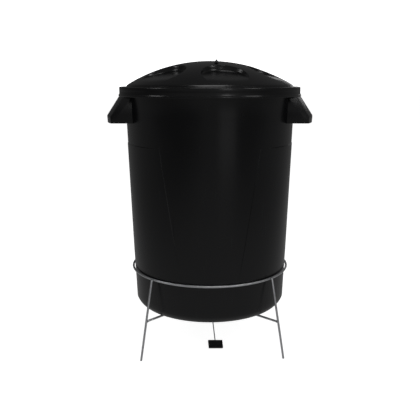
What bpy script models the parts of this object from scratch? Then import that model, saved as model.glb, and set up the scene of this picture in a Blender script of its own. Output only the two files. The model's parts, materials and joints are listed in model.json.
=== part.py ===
"""Gravity feeder: a moulded dustbin with a domed lid, standing in a welded wire stand.

A pecking rod with a paddle hangs in a turning outlet in the bin's floor.
Run it with: blender --background --python part.py
Metres, +Z up. The origin is on the ground under the bin's axis, and the front faces -Y.
"""

import math

import bmesh
import bpy
from mathutils import Matrix, Vector

# ---------------------------------------------------------------- driving dimensions
GAP = 0.0003                    # between pieces that touch
ROUND_STEPS = 72                # facets round the bin, the lid and the hoop

WALL = 0.003                    # moulded wall of the bin and of the lid

BIN_RIM_RADIUS = 0.2349         # outside, at the top of the wall
BIN_FOOT_WALL_RADIUS = 0.2139   # outside, where the wall meets the rounded bottom edge
BIN_BASE_Z = 0.1113             # underside of the foot ring, on the stand's upper cross rod
BIN_RIM_Z = 0.7322              # top of the rim
BIN_EDGE_HEIGHT = 0.0207        # the rounded bottom edge, from the foot ring up to the wall
BIN_EDGE_WIDTH = 0.0197
BIN_EDGE_FULLNESS = 0.4         # 0 is a flat chamfer and 1 is nearly a quarter round
FOOT_RING_WIDTH = 0.012
FLOOR_RISE = 0.0157             # how far the floor is raised above the foot ring
FLOOR_RISER_DRAFT = 0.008
RIM_FLANGE = 0.0106             # how far the rim stands out from the wall
RIM_LIP = 0.0115                # how far the rim's lip turns down

GRIP_DROP = 0.0227              # from the top of the rim to the top of the grip
GRIP_HEIGHT = 0.0695
GRIP_TOP_REACH = 0.0203         # how far the grip stands out at its top
GRIP_REACH = 0.0560             # how far it stands out at its widest
GRIP_SLOPE_HEIGHT = 0.0535
GRIP_HALF_WIDTH = 0.113
GRIP_BOTTOM_DRAFT = 0.001

LID_CLEARANCE = 0.0020          # between the rim's lip and the lid's skirt
LID_SKIRT_DEPTH = 0.0257
LID_SKIRT_FLARE = 0.0019
LID_SKIRT_FLARE_HEIGHT = 0.0040
LID_LEDGE_WIDTH = 0.0190        # the flat ring between the skirt and the dome
LID_DOME_RISE = 0.0669
LID_DOME_STEP = 0.0034          # the small step at the dome's foot
LID_DOME_ROWS = 8
RECESS_COUNT = 6
RECESS_CENTRE_RADIUS = 0.1700
RECESS_FLOOR_RADIUS = 0.0600
RECESS_WALL_ANGLE = math.radians(6)
RECESS_FLOOR_ANGLE = math.radians(14)
RECESS_CENTRE_DROP = 0.0425     # from the top of the dome to the middle of a recess floor
LID_TURN = math.radians(13.2)   # how the lid happens to be turned on the bin

WIRE_RADIUS = 0.003             # all the stand's wire
HOOP_CLEARANCE = 0.0060         # between the bin's wall and the inside of the hoop
HOOP_Z = 0.2200
FOOT_CIRCLE_RADIUS = 0.2774
STAND_TURN = math.radians(2.2)
LEG_SIDES = 16

OUTLET_MOUTH_RADIUS = 0.0285
OUTLET_FLANGE_RADIUS = 0.0450
OUTLET_FLANGE_THICKNESS = 0.0030
OUTLET_COLLAR_WALL = 0.0020
OUTLET_BORE_RADIUS = 0.0240
OUTLET_LEDGE_WIDTH = 0.0035
OUTLET_LEDGE_HEIGHT = 0.0030
OUTLET_LEDGE_DEPTH = 0.0035     # from the floor's top down to the ledge
OUTLET_COLLAR_DEPTH = 0.0135    # from the floor's top down to the collar's end
WASHER_THICKNESS = 0.0016
WASHER_WIDTH = 0.0110
NUT_HEIGHT = 0.0080
NUT_WIDTH = 0.0095
NUT_FLATS = 12
OUTLET_STEPS = 48

DISC_THICKNESS = 0.0030
DISC_CLEARANCE = 0.0003
PIN_DROP = 0.0045               # from the disc's underside to the pivot pin's axis
PIN_RADIUS = 0.0020
PIN_CLEARANCE = 0.0002          # in the lugs' holes and in the rod's eye
LUG_INNER = 0.0075
LUG_THICKNESS = 0.0035
LUG_WIDTH = 0.0100
CLIP_THICKNESS = 0.0008
CLIP_RADIUS = 0.0038
PIN_END = 0.0015                # how far the pin stands out past its clips

ROD_RADIUS = 0.0015
ROD_EYE_PITCH = 0.0034          # from one side of the rod's eye to the other
ROD_TAIL = 0.0600               # the stirring end, above the pin
ROD_EYE_POINTS = 24
ROD_LEAN = math.radians(47.5)   # from upright, where the paddle rests on the ground
ROD_TURN = math.radians(8.3)
ROD_LEAN_MAX = math.radians(64.0)
ROD_SOCKET_DEPTH = 0.0120

PADDLE_WIDTH = 0.0414
PADDLE_LENGTH = 0.0233
PADDLE_FRONT = 0.0036           # from the rod's axis to the front face
PADDLE_BACK = 0.0034
PADDLE_RIM = 0.0022
PADDLE_RECESS = 0.0008
PADDLE_TWIST = math.radians(8.6)
PADDLE_GROUND_GAP = 0.0005
PADDLE_EDGE_ROUND = 0.0006

PEG_RADIUS = 0.0022
PEG_HEAD_RADIUS = 0.0062
PEG_HEAD_HEIGHT = 0.0078
PEG_HEAD_TIP_RADIUS = 0.0014
PEG_BARB_RADIUS = 0.0032
PEG_BARB_HEIGHT = 0.0040
PEG_RADIUS_ON_LID = 0.0780      # how far from the lid's axis the peg sits

# ---------------------------------------------------------------- worked-out dimensions
BIN_FLOOR_UNDER_Z = BIN_BASE_Z + FLOOR_RISE
BIN_FLOOR_TOP_Z = BIN_FLOOR_UNDER_Z + WALL
FLANGE_UNDER_Z = BIN_RIM_Z - WALL
BOTTOM_EDGE_Z = BIN_BASE_Z + BIN_EDGE_HEIGHT
FOOT_RADIUS = BIN_FOOT_WALL_RADIUS - BIN_EDGE_WIDTH
LIP_OUTER_RADIUS = BIN_RIM_RADIUS + RIM_FLANGE + WALL

LID_LEDGE_Z = BIN_RIM_Z + GAP + WALL
LID_SKIRT_INNER = LIP_OUTER_RADIUS + LID_CLEARANCE
LID_SKIRT_RADIUS = LID_SKIRT_INNER + WALL
LID_BASE_Z = LID_LEDGE_Z - LID_SKIRT_DEPTH
LID_DOME_RADIUS = LID_SKIRT_RADIUS - LID_LEDGE_WIDTH
LID_DOME_FOOT_Z = LID_LEDGE_Z + LID_DOME_STEP
LID_TOP_Z = LID_DOME_FOOT_Z + LID_DOME_RISE
LID_SPHERE_RADIUS = (LID_DOME_RADIUS ** 2 + LID_DOME_RISE ** 2) / (2 * LID_DOME_RISE)

OUTLET_COLLAR_RADIUS = OUTLET_MOUTH_RADIUS + OUTLET_COLLAR_WALL
OUTLET_HOLE_RADIUS = OUTLET_COLLAR_RADIUS + GAP
FLANGE_BASE_Z = BIN_FLOOR_TOP_Z + GAP + WASHER_THICKNESS + GAP
LEDGE_Z = BIN_FLOOR_TOP_Z - OUTLET_LEDGE_DEPTH
COLLAR_END_Z = BIN_FLOOR_TOP_Z - OUTLET_COLLAR_DEPTH
LEDGE_RADIUS = OUTLET_BORE_RADIUS - OUTLET_LEDGE_WIDTH
DISC_RADIUS = OUTLET_BORE_RADIUS - DISC_CLEARANCE
DISC_UNDER_Z = LEDGE_Z + GAP
PIN_Z = DISC_UNDER_Z - PIN_DROP
ROD_EYE_RADIUS = PIN_RADIUS + PIN_CLEARANCE + ROD_RADIUS
LUG_OUTER = LUG_INNER + LUG_THICKNESS
PIN_HALF_LENGTH = LUG_OUTER + GAP + CLIP_THICKNESS + PIN_END


def wall_radius(z):
    """Outside radius of the bin's tapered wall at height z."""
    share = (z - BOTTOM_EDGE_Z) / (FLANGE_UNDER_Z - BOTTOM_EDGE_Z)
    return BIN_FOOT_WALL_RADIUS + share * (BIN_RIM_RADIUS - BIN_FOOT_WALL_RADIUS)


def dome_z(radius, offset=0.0):
    """Height of the lid's dome at a radius, or of the surface that far inside it."""
    sphere = LID_SPHERE_RADIUS - offset
    centre_z = LID_TOP_Z - LID_SPHERE_RADIUS
    return centre_z + math.sqrt(sphere ** 2 - radius ** 2)


# ---------------------------------------------------------------- scene and helpers
for old in list(bpy.data.objects):
    bpy.data.objects.remove(old)

PARTS = bpy.data.collections.new("gravity_feeder")
CUTTERS = bpy.data.collections.new("cutters")
bpy.context.scene.collection.children.link(PARTS)
bpy.context.scene.collection.children.link(CUTTERS)


def make_material(name, color, roughness, metallic=0.0):
    material = bpy.data.materials.new(name)
    material.use_nodes = True
    shader = material.node_tree.nodes["Principled BSDF"]
    shader.inputs["Base Color"].default_value = (*color, 1.0)
    shader.inputs["Roughness"].default_value = roughness
    shader.inputs["Metallic"].default_value = metallic
    return material


BLACK_PLASTIC = make_material("black_plastic", (0.012, 0.012, 0.013), 0.38)
OUTLET_PLASTIC = make_material("outlet_plastic", (0.020, 0.020, 0.021), 0.50)
RUBBER = make_material("rubber", (0.015, 0.015, 0.015), 0.80)
GALVANISED = make_material("galvanised_wire", (0.46, 0.47, 0.48), 0.36, 1.0)
STEEL = make_material("steel_pin", (0.55, 0.55, 0.56), 0.30, 1.0)


def add_object(name, mesh, collection=PARTS, material=None, parent=None):
    """Links a mesh, shades it smooth with crisp edges and gives it its material."""
    thing = bpy.data.objects.new(name, mesh)
    collection.objects.link(thing)
    thing.parent = parent
    if material:
        mesh.materials.append(material)
    if collection is CUTTERS:
        thing.hide_render = True
        thing.display_type = "WIRE"
    return thing


def smooth(mesh, angle=math.radians(35)):
    mesh.shade_smooth()
    mesh.set_sharp_from_angle(angle=angle)
    return mesh


def add_empty(name, location, parent=None, rotation=(0, 0, 0)):
    empty = bpy.data.objects.new(name, None)
    PARTS.objects.link(empty)
    empty.parent = parent
    empty.location = location
    empty.rotation_euler = rotation
    empty.empty_display_size = 0.05
    return empty


def mesh_from_bmesh(name, shape):
    mesh = bpy.data.meshes.new(name)
    shape.to_mesh(mesh)
    shape.free()
    return mesh


def profile_mesh(name, points, closed):
    """A profile in the XZ plane, as a row of edges for a Screw modifier."""
    shape = bmesh.new()
    corners = [shape.verts.new((radius, 0, z)) for radius, z in points]
    for start, end in zip(corners, corners[1:]):
        shape.edges.new((start, end))
    if closed:
        shape.edges.new((corners[-1], corners[0]))
    return mesh_from_bmesh(name, shape)


def add_screw(thing, steps):
    screw = thing.modifiers.new("turn", "SCREW")
    screw.angle = math.tau
    screw.steps = steps
    screw.render_steps = steps
    screw.use_merge_vertices = True
    screw.merge_threshold = 0.00005
    screw.use_smooth_shade = False
    return screw


def turned(name, points, steps, material=None, parent=None, collection=PARTS, closed=True):
    """A body turned round its own Z axis. The points run down its outer side."""
    thing = add_object(name, profile_mesh(name, points, closed), collection, material, parent)
    add_screw(thing, steps)
    return thing


def add_boolean(thing, other, operation="DIFFERENCE"):
    step = thing.modifiers.new(operation.lower(), "BOOLEAN")
    step.operation = operation
    step.solver = "EXACT"
    step.object = other
    return step


def box_mesh(name, low, high):
    shape = bmesh.new()
    bmesh.ops.create_cube(shape, size=1.0)
    size = Vector(high) - Vector(low)
    bmesh.ops.scale(shape, vec=size, verts=shape.verts)
    bmesh.ops.translate(shape, vec=(Vector(low) + Vector(high)) / 2, verts=shape.verts)
    return mesh_from_bmesh(name, shape)


def rod_mesh(name, start, end, radius, sides, top_radius=None):
    """A straight rod or cone between two points, made from a capped cylinder."""
    start, end = Vector(start), Vector(end)
    shape = bmesh.new()
    bmesh.ops.create_cone(
        shape, cap_ends=True, segments=sides, radius1=radius,
        radius2=radius if top_radius is None else top_radius, depth=(end - start).length)
    turn = (end - start).to_track_quat("Z", "Y").to_matrix().to_4x4()
    move = Matrix.Translation((start + end) / 2)
    bmesh.ops.transform(shape, matrix=move @ turn, verts=shape.verts)
    return mesh_from_bmesh(name, shape)


def around(radius, angle, z):
    """A point on a circle. Angle 0 is the front, and a positive angle turns towards +X."""
    return Vector((radius * math.sin(angle), -radius * math.cos(angle), z))


# ---------------------------------------------------------------- wire stand
HOOP_RADIUS = wall_radius(HOOP_Z) + HOOP_CLEARANCE + WIRE_RADIUS
LEG_TOP_Z = HOOP_Z + WIRE_RADIUS
LEG_ANGLES = {
    "front_left": -math.pi / 4, "front_right": math.pi / 4,
    "rear_right": 3 * math.pi / 4, "rear_left": -3 * math.pi / 4}
LEG_HOOP_RADIUS = HOOP_RADIUS + 2 * WIRE_RADIUS + 2 * GAP
LEG_SPLAY = (FOOT_CIRCLE_RADIUS - LEG_HOOP_RADIUS) / HOOP_Z
ROD_LEVELS = {
    "upper": BIN_BASE_Z - GAP - WIRE_RADIUS,
    "lower": BIN_BASE_Z - GAP - 3 * WIRE_RADIUS - GAP}


def leg_radius(z):
    """Distance of a leg's centre line from the stand's axis at height z."""
    return FOOT_CIRCLE_RADIUS - LEG_SPLAY * z


def make_stand_hoop(stand):
    bpy.ops.mesh.primitive_torus_add(
        major_segments=ROUND_STEPS, minor_segments=10,
        major_radius=HOOP_RADIUS, minor_radius=WIRE_RADIUS)
    hoop = bpy.context.active_object
    mesh = hoop.data
    bpy.data.objects.remove(hoop)
    thing = add_object("stand_hoop", smooth(mesh), PARTS, GALVANISED, stand)
    thing.location.z = HOOP_Z


def make_stand_leg(stand, place, angle):
    """A splayed wire leg, cut level at the ground and at the top of the hoop."""
    low_z, high_z = -0.01, LEG_TOP_Z + 0.01
    mesh = rod_mesh("leg", around(leg_radius(low_z), angle, low_z),
                    around(leg_radius(high_z), angle, high_z), WIRE_RADIUS, LEG_SIDES)
    shape = bmesh.new()
    shape.from_mesh(mesh)
    for height, side in ((0.0, -1), (LEG_TOP_Z, 1)):
        cut = bmesh.ops.bisect_plane(
            shape, geom=shape.verts[:] + shape.edges[:] + shape.faces[:],
            plane_co=(0, 0, height), plane_no=(0, 0, side), clear_outer=True)
        edges = [item for item in cut["geom_cut"] if isinstance(item, bmesh.types.BMEdge)]
        bmesh.ops.contextual_create(shape, geom=edges)
    bmesh.ops.recalc_face_normals(shape, faces=shape.faces)
    bpy.data.meshes.remove(mesh)
    name = "stand_leg_" + place
    add_object(name, smooth(mesh_from_bmesh(name, shape)), PARTS, GALVANISED, stand)


def make_cross_rod(stand, level, angle):
    """A wire across the stand from one leg to the opposite leg, welded to both."""
    z = ROD_LEVELS[level]
    leg_half = WIRE_RADIUS * math.sqrt(1 + LEG_SPLAY ** 2)
    reach = leg_radius(z + WIRE_RADIUS) - leg_half - GAP
    name = "stand_cross_rod_" + level
    mesh = rod_mesh(name, around(reach, angle, z), around(-reach, angle, z), WIRE_RADIUS, LEG_SIDES)
    add_object(name, smooth(mesh), PARTS, GALVANISED, stand)


def make_stand():
    stand = add_empty("stand_frame", (0, 0, 0), rotation=(0, 0, STAND_TURN))
    make_stand_hoop(stand)
    for place, angle in LEG_ANGLES.items():
        make_stand_leg(stand, place, angle)
    make_cross_rod(stand, "upper", LEG_ANGLES["front_left"])
    make_cross_rod(stand, "lower", LEG_ANGLES["front_right"])
    return stand


# ---------------------------------------------------------------- bin
def bin_profile():
    """The wall's outer skin, from the rim's lip down to the outlet hole in the floor."""
    lip_inner = BIN_RIM_RADIUS + RIM_FLANGE
    points = [
        (lip_inner, FLANGE_UNDER_Z - RIM_LIP),
        (lip_inner, FLANGE_UNDER_Z),
        (BIN_RIM_RADIUS, FLANGE_UNDER_Z),
        (wall_radius((FLANGE_UNDER_Z + BOTTOM_EDGE_Z) / 2), (FLANGE_UNDER_Z + BOTTOM_EDGE_Z) / 2)]
    edge_steps = 5
    bulge = (1 + BIN_EDGE_FULLNESS) / 2
    for step in range(edge_steps + 1):
        share = step / edge_steps
        inward = 2 * share * (1 - share) * (1 - bulge) + share ** 2
        down = 2 * share * (1 - share) * bulge + share ** 2
        points.append((BIN_FOOT_WALL_RADIUS - BIN_EDGE_WIDTH * inward,
                       BOTTOM_EDGE_Z - BIN_EDGE_HEIGHT * down))
    foot_inner = FOOT_RADIUS - FOOT_RING_WIDTH
    points += [
        (foot_inner, BIN_BASE_Z),
        (foot_inner - FLOOR_RISER_DRAFT, BIN_FLOOR_UNDER_Z),
        (OUTLET_HOLE_RADIUS, BIN_FLOOR_UNDER_Z)]
    return points


def grip_profile(inset, deep):
    """Section of the hand grips: inset 0 gives the outside, and WALL the hollow's surface."""
    top_z = BIN_RIM_Z - GRIP_DROP
    base_z = top_z - GRIP_HEIGHT
    widest_z = top_z - GRIP_SLOPE_HEIGHT
    root = wall_radius(top_z) - deep
    slope = (GRIP_REACH - GRIP_TOP_REACH) / GRIP_SLOPE_HEIGHT
    aslant = inset * math.sqrt(1 + slope ** 2)
    widest = wall_radius(widest_z) + GRIP_REACH
    top_reach = wall_radius(top_z) + GRIP_TOP_REACH
    return [
        (root, top_z - inset),
        (top_reach - aslant + slope * inset, top_z - inset),
        (widest - aslant * 0.9, widest_z),
        (widest - GRIP_BOTTOM_DRAFT - inset, base_z - 4 * inset),
        (wall_radius(base_z) - deep, base_z - 4 * inset)]


def make_grip_solids():
    """Both hand grips: turned rings cut down to the grips' width, hollow from below."""
    mid_wall = WALL / 2
    band = 0.6
    outside = turned("grip_outside", grip_profile(0.0, mid_wall), ROUND_STEPS, collection=CUTTERS)
    slab = add_object("grip_slab", box_mesh(
        "grip_slab", (-band, -GRIP_HALF_WIDTH, 0.5), (band, GRIP_HALF_WIDTH, 0.9)), CUTTERS)
    add_boolean(outside, slab, "INTERSECT")
    hollow = turned("grip_hollow", grip_profile(WALL, 2 * WALL), ROUND_STEPS, collection=CUTTERS)
    inner_half = GRIP_HALF_WIDTH - WALL
    inner_slab = add_object("grip_inner_slab", box_mesh(
        "grip_inner_slab", (-band, -inner_half, 0.5), (band, inner_half, 0.9)), CUTTERS)
    add_boolean(hollow, inner_slab, "INTERSECT")
    add_boolean(outside, hollow)
    return outside


def make_bin(bin_frame):
    body = turned("bin_body", bin_profile(), ROUND_STEPS, BLACK_PLASTIC, bin_frame, closed=False)
    shell = body.modifiers.new("wall", "SOLIDIFY")
    shell.thickness = WALL
    shell.offset = -1.0
    shell.use_even_offset = True
    body.location.z = -bin_frame.location.z
    add_boolean(body, make_grip_solids(), "UNION")
    return body


# ---------------------------------------------------------------- lid
def lid_profile(inset):
    """Section of the lid's solid outline, or of the hollow that is inset inside it."""
    bottom_z = LID_BASE_Z - 2 * inset
    points = []
    for row in range(LID_DOME_ROWS + 1):
        radius = (LID_DOME_RADIUS - inset * 0.3) * row / LID_DOME_ROWS
        points.append((radius, dome_z(radius, inset)))
    ledge_z = LID_LEDGE_Z - inset
    edge = 0.0 if inset else 0.0020
    points += [
        (LID_DOME_RADIUS + 0.0035, ledge_z),
        (LID_SKIRT_RADIUS - inset - edge, ledge_z),
        (LID_SKIRT_RADIUS - inset, ledge_z - edge)]
    if inset:
        points.append((LID_SKIRT_INNER, bottom_z))
    else:
        flare_z = LID_BASE_Z + LID_SKIRT_FLARE_HEIGHT
        points += [
            (LID_SKIRT_RADIUS, flare_z + LID_SKIRT_FLARE),
            (LID_SKIRT_RADIUS + LID_SKIRT_FLARE, flare_z),
            (LID_SKIRT_RADIUS + LID_SKIRT_FLARE, bottom_z)]
    points.append((0.0, bottom_z))
    return points


def make_recess_cutter(name, angle, grow, frame):
    """A wide cone, tilted outwards, whose flat end is the floor of one round hand recess."""
    height = 0.055
    radius = RECESS_FLOOR_RADIUS + grow
    spread = height * math.tan(RECESS_WALL_ANGLE)
    mesh = rod_mesh(name, (0, 0, -grow), (0, 0, height), radius, 40, radius + spread)
    cutter = add_object(name, mesh, CUTTERS, parent=frame)
    floor = around(RECESS_CENTRE_RADIUS, angle, LID_TOP_Z - RECESS_CENTRE_DROP)
    cutter.location = floor - frame.location
    cutter.rotation_euler = (RECESS_FLOOR_ANGLE, 0, angle)
    return cutter


def make_lid(lid_frame):
    lid = turned("bin_lid", lid_profile(0.0), ROUND_STEPS, BLACK_PLASTIC, lid_frame)
    lid.location.z = -lid_frame.location.z
    hollow = turned("lid_hollow", lid_profile(WALL), ROUND_STEPS, parent=lid_frame, collection=CUTTERS)
    hollow.location.z = -lid_frame.location.z
    for number in range(RECESS_COUNT):
        angle = math.tau * number / RECESS_COUNT
        add_boolean(lid, make_recess_cutter(f"recess_{number}", angle, 0.0, lid_frame))
        add_boolean(hollow, make_recess_cutter(f"recess_keep_{number}", angle, WALL, lid_frame))
    add_boolean(lid, hollow)
    peg_z = dome_z(PEG_RADIUS_ON_LID)
    hole = add_object("peg_hole", rod_mesh(
        "peg_hole", around(PEG_RADIUS_ON_LID, 0, peg_z - 0.02),
        around(PEG_RADIUS_ON_LID, 0, peg_z + 0.02), PEG_RADIUS + GAP, 16), CUTTERS, parent=lid_frame)
    hole.location.z = -lid_frame.location.z
    add_boolean(lid, hole)
    return lid


def make_lid_peg(lid_frame):
    """A push-in peg: pointed head above the lid, barbed end below it."""
    surface_z = dome_z(PEG_RADIUS_ON_LID - PEG_HEAD_RADIUS)
    seat_z = surface_z + GAP
    under_z = dome_z(PEG_RADIUS_ON_LID + PEG_BARB_RADIUS, WALL) - 2 * GAP
    points = [
        (0.0, seat_z + PEG_HEAD_HEIGHT),
        (PEG_HEAD_TIP_RADIUS, seat_z + PEG_HEAD_HEIGHT),
        (PEG_HEAD_RADIUS * 0.8, seat_z + PEG_HEAD_HEIGHT * 0.32),
        (PEG_HEAD_RADIUS, seat_z),
        (PEG_RADIUS, seat_z),
        (PEG_RADIUS, under_z),
        (PEG_BARB_RADIUS, under_z),
        (PEG_RADIUS * 0.6, under_z - PEG_BARB_HEIGHT),
        (0.0, under_z - PEG_BARB_HEIGHT)]
    peg = turned("lid_peg", points, 20, BLACK_PLASTIC, lid_frame)
    peg.location = around(PEG_RADIUS_ON_LID, 0, -lid_frame.location.z)


# ---------------------------------------------------------------- outlet in the floor
def make_outlet(bin_frame):
    top_z = FLANGE_BASE_Z + OUTLET_FLANGE_THICKNESS
    ledge_low_z = LEDGE_Z - OUTLET_LEDGE_HEIGHT
    bush = turned("outlet_bush", [
        (OUTLET_MOUTH_RADIUS, top_z),
        (OUTLET_FLANGE_RADIUS, top_z),
        (OUTLET_FLANGE_RADIUS, FLANGE_BASE_Z),
        (OUTLET_COLLAR_RADIUS, FLANGE_BASE_Z),
        (OUTLET_COLLAR_RADIUS, COLLAR_END_Z),
        (OUTLET_BORE_RADIUS, COLLAR_END_Z),
        (OUTLET_BORE_RADIUS, ledge_low_z),
        (LEDGE_RADIUS, ledge_low_z),
        (LEDGE_RADIUS, LEDGE_Z),
        (OUTLET_BORE_RADIUS, LEDGE_Z),
        (OUTLET_BORE_RADIUS, BIN_FLOOR_TOP_Z)], OUTLET_STEPS, OUTLET_PLASTIC, bin_frame)
    bush.location.z = -bin_frame.location.z
    washer_low = BIN_FLOOR_TOP_Z + GAP
    washer = turned("outlet_washer", [
        (OUTLET_HOLE_RADIUS, washer_low + WASHER_THICKNESS),
        (OUTLET_HOLE_RADIUS + WASHER_WIDTH, washer_low + WASHER_THICKNESS),
        (OUTLET_HOLE_RADIUS + WASHER_WIDTH, washer_low),
        (OUTLET_HOLE_RADIUS, washer_low)], OUTLET_STEPS, RUBBER, bin_frame)
    washer.location.z = -bin_frame.location.z
    nut_top = BIN_FLOOR_UNDER_Z - GAP
    nut_radius = OUTLET_HOLE_RADIUS + NUT_WIDTH
    nut = add_object("outlet_nut", rod_mesh(
        "outlet_nut", (0, 0, nut_top - NUT_HEIGHT), (0, 0, nut_top), nut_radius, NUT_FLATS),
        PARTS, OUTLET_PLASTIC, bin_frame)
    nut.location.z = -bin_frame.location.z
    bore = add_object("nut_bore", rod_mesh(
        "nut_bore", (0, 0, nut_top - 2 * NUT_HEIGHT), (0, 0, nut_top + NUT_HEIGHT),
        OUTLET_HOLE_RADIUS, OUTLET_STEPS), CUTTERS, parent=bin_frame)
    bore.location.z = -bin_frame.location.z
    add_boolean(nut, bore)


def make_swivel_disc(swivel_frame):
    """The turning disc: a slot for the stirring rod, and two lugs below for the pivot pin."""
    low = DISC_UNDER_Z - PIN_Z
    disc = add_object("swivel_disc", rod_mesh(
        "swivel_disc", (0, 0, low), (0, 0, low + DISC_THICKNESS), DISC_RADIUS, OUTLET_STEPS),
        PARTS, OUTLET_PLASTIC, swivel_frame)
    lug_low = -PIN_RADIUS - PIN_CLEARANCE - 0.0028
    for side in (-1, 1):
        inner, outer = sorted((side * LUG_INNER, side * LUG_OUTER))
        name = "lug_left" if side < 0 else "lug_right"
        lug = add_object(name, box_mesh(
            name, (inner, -LUG_WIDTH / 2, lug_low), (outer, LUG_WIDTH / 2, low + DISC_THICKNESS / 2)),
            CUTTERS, parent=swivel_frame)
        add_boolean(disc, lug, "UNION")
    tail_reach = (low + DISC_THICKNESS) * math.tan(ROD_LEAN_MAX) + ROD_RADIUS / math.cos(ROD_LEAN_MAX)
    half_slot = tail_reach + 0.0010
    half_width = ROD_EYE_PITCH / 2 + ROD_RADIUS + 0.0012
    slot = add_object("disc_slot", box_mesh(
        "disc_slot", (-half_width, -half_slot, low - 0.002),
        (half_width, half_slot, low + DISC_THICKNESS + 0.002)), CUTTERS, parent=swivel_frame)
    add_boolean(disc, slot)
    hole = add_object("pin_hole", rod_mesh(
        "pin_hole", (-0.03, 0, 0), (0.03, 0, 0), PIN_RADIUS + PIN_CLEARANCE, 16),
        CUTTERS, parent=swivel_frame)
    add_boolean(disc, hole)
    return disc


def make_pivot_pin(swivel_frame):
    mesh = rod_mesh("pivot_pin", (-PIN_HALF_LENGTH, 0, 0), (PIN_HALF_LENGTH, 0, 0), PIN_RADIUS, 16)
    add_object("pivot_pin", smooth(mesh), PARTS, STEEL, swivel_frame)
    for side, name in ((-1, "pin_clip_left"), (1, "pin_clip_right")):
        start = LUG_OUTER + GAP
        clip = turned(name, [
            (PIN_RADIUS + GAP / 2, start + CLIP_THICKNESS),
            (CLIP_RADIUS, start + CLIP_THICKNESS),
            (CLIP_RADIUS, start),
            (PIN_RADIUS + GAP / 2, start)], 24, STEEL, swivel_frame)
        clip.rotation_euler.y = side * math.pi / 2


# ---------------------------------------------------------------- pecking rod and paddle
def paddle_low_reach():
    """How far below the rod's line, square to it, the paddle's lowest corner is."""
    corner = PADDLE_BACK * math.cos(PADDLE_TWIST) + PADDLE_WIDTH / 2 * math.sin(PADDLE_TWIST)
    return corner - ROD_EYE_RADIUS


ROD_REACH = (PIN_Z - PADDLE_GROUND_GAP - paddle_low_reach() * math.sin(ROD_LEAN)) / math.cos(ROD_LEAN)
PADDLE_TOP = -ROD_REACH + PADDLE_LENGTH


def rod_points():
    """Straight shank, one turn round the pin, then the straight stirring tail."""
    half_pitch = ROD_EYE_PITCH / 2
    points = [Vector((-half_pitch, -ROD_EYE_RADIUS, PADDLE_TOP - ROD_SOCKET_DEPTH + GAP))]
    for step in range(ROD_EYE_POINTS + 1):
        share = step / ROD_EYE_POINTS
        turn = math.tau * share
        points.append(Vector((
            half_pitch * (2 * share - 1),
            -ROD_EYE_RADIUS * math.cos(turn),
            ROD_EYE_RADIUS * math.sin(turn))))
    points.append(Vector((half_pitch, -ROD_EYE_RADIUS, ROD_TAIL)))
    return points


def wire_object(name, points, radius, material, parent):
    """A bent wire: a curve with a round bevel, made a mesh with welded caps."""
    curve = bpy.data.curves.new(name, "CURVE")
    curve.dimensions = "3D"
    curve.bevel_depth = radius
    curve.bevel_resolution = 2
    curve.use_fill_caps = True
    spline = curve.splines.new("POLY")
    spline.points.add(len(points) - 1)
    for slot, point in zip(spline.points, points):
        slot.co = (*point, 1.0)
    guide = bpy.data.objects.new(name + "_guide", curve)
    CUTTERS.objects.link(guide)
    bpy.context.view_layer.update()
    graph = bpy.context.evaluated_depsgraph_get()
    mesh = bpy.data.meshes.new_from_object(guide.evaluated_get(graph))
    bpy.data.objects.remove(guide)
    shape = bmesh.new()
    shape.from_mesh(mesh)
    bmesh.ops.remove_doubles(shape, verts=shape.verts, dist=0.00001)
    bmesh.ops.recalc_face_normals(shape, faces=shape.faces)
    bpy.data.meshes.remove(mesh)
    return add_object(name, smooth(mesh_from_bmesh(name, shape)), PARTS, material, parent)


def make_paddle(peck_frame):
    """A flat moulded block with a raised rim round its front face, on the end of the rod."""
    half = PADDLE_WIDTH / 2
    mesh = box_mesh("peck_paddle", (-half, -PADDLE_FRONT, -ROD_REACH), (half, PADDLE_BACK, PADDLE_TOP))
    shape = bmesh.new()
    shape.from_mesh(mesh)
    front = [face for face in shape.faces if face.normal.y < -0.9]
    bmesh.ops.inset_region(shape, faces=front, thickness=PADDLE_RIM)
    bmesh.ops.translate(shape, verts=front[0].verts, vec=(0, PADDLE_RECESS, 0))
    bpy.data.meshes.remove(mesh)
    paddle = add_object("peck_paddle", mesh_from_bmesh("peck_paddle", shape), PARTS, BLACK_PLASTIC, peck_frame)
    paddle.location = (-ROD_EYE_PITCH / 2, -ROD_EYE_RADIUS, 0)
    paddle.rotation_euler.z = PADDLE_TWIST
    edges = paddle.modifiers.new("edges", "BEVEL")
    edges.width = PADDLE_EDGE_ROUND
    edges.segments = 2
    socket = add_object("rod_socket", rod_mesh(
        "rod_socket", (0, 0, PADDLE_TOP - ROD_SOCKET_DEPTH), (0, 0, PADDLE_TOP + 0.01),
        ROD_RADIUS + GAP, 16), CUTTERS, parent=peck_frame)
    socket.location = paddle.location
    add_boolean(paddle, socket)


def make_feeder():
    make_stand()
    bin_frame = add_empty("bin_frame", (0, 0, BIN_BASE_Z))
    make_bin(bin_frame)
    make_outlet(bin_frame)
    lid_frame = add_empty("lid_frame", (0, 0, LID_BASE_Z), rotation=(0, 0, LID_TURN))
    make_lid(lid_frame)
    make_lid_peg(lid_frame)
    swivel_frame = add_empty("swivel_frame", (0, 0, PIN_Z), rotation=(0, 0, ROD_TURN))
    make_swivel_disc(swivel_frame)
    make_pivot_pin(swivel_frame)
    peck_frame = add_empty("peck_frame", (0, 0, 0), swivel_frame, (-ROD_LEAN, 0, 0))
    wire_object("peck_rod", rod_points(), ROD_RADIUS, GALVANISED, peck_frame)
    make_paddle(peck_frame)


make_feeder()
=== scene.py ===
# %% [markdown]
# # A gravity feeder: a moulded bin on a wire stand
# The frame of this object is already packed: every body, joint and size comes from it.
# This lesson gives it its looks. Each visible piece is remodelled with soft moulded edges or
# smooth round wire, and each finish is built from shader nodes. Lengths are in metres.

import json
import math

import bmesh
import bpy
from mathutils import Matrix, Vector, noise


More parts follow.
